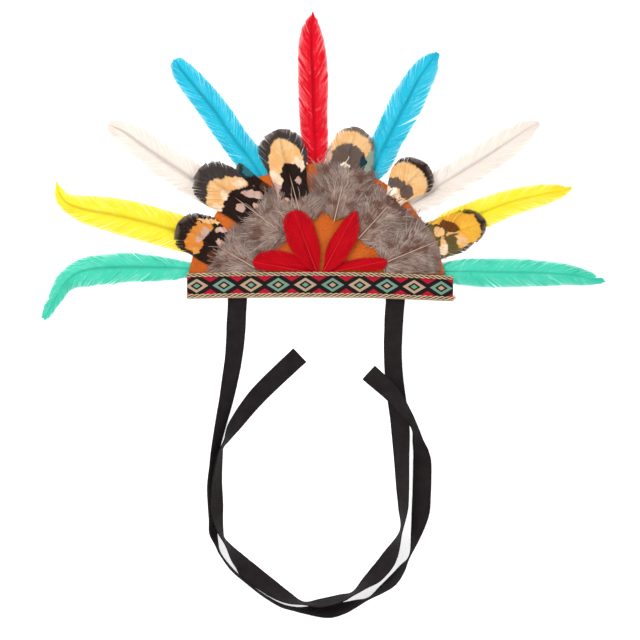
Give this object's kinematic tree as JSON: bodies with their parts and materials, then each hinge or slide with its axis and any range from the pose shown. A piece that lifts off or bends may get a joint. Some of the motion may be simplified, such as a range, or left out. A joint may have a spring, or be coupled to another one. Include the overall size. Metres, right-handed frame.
{
  "type": "feathered headdress",
  "caption": "Costume headdress: half-round felt panel with a woven diamond trim, a fan of dyed feathers, patterned feathers on its front and two tape ties.",
  "frame": {"origin": "on the surface the headdress lies on, below the middle of its box without the ties", "axes": "+X along the trim to the right-hand end, +Y the way the middle feather points, +Z out of the front"},
  "size_m": [0.4262, 0.4591, 0.0199],
  "materials": {
    "felt": "matte, fibrous",
    "trim": "woven",
    "feather_mint": "satin",
    "feather_yellow": "satin",
    "feather_white": "satin",
    "feather_blue": "satin",
    "feather_red": "satin",
    "feather_deep_red": "satin",
    "feather_patterned": "downy",
    "tape": "twill"
  },
  "bodies": {
    "root": {"base_panel": "felt", "trim_band": "trim", "feather_mint_left": "feather_mint", "feather_yellow_left": "feather_yellow", "feather_white_left": "feather_white", "feather_blue_left": "feather_blue", "feather_red_centre": "feather_red", "feather_blue_right": "feather_blue", "feather_white_right": "feather_white", "feather_yellow_right": "feather_yellow", "feather_mint_right": "feather_mint", "pheasant_left_lower": "feather_patterned", "pheasant_left_middle": "feather_patterned", "pheasant_left_inner": "feather_patterned", "pheasant_left_top": "feather_patterned", "pheasant_right_top": "feather_patterned", "pheasant_right_middle": "feather_patterned", "pheasant_right_lower": "feather_patterned", "red_small_left_low": "feather_deep_red", "red_small_left_up": "feather_deep_red", "red_small_right_up": "feather_deep_red", "red_small_right_low": "feather_deep_red", "tie_left": "tape", "tie_right": "tape"}
  },
  "joints": []
}
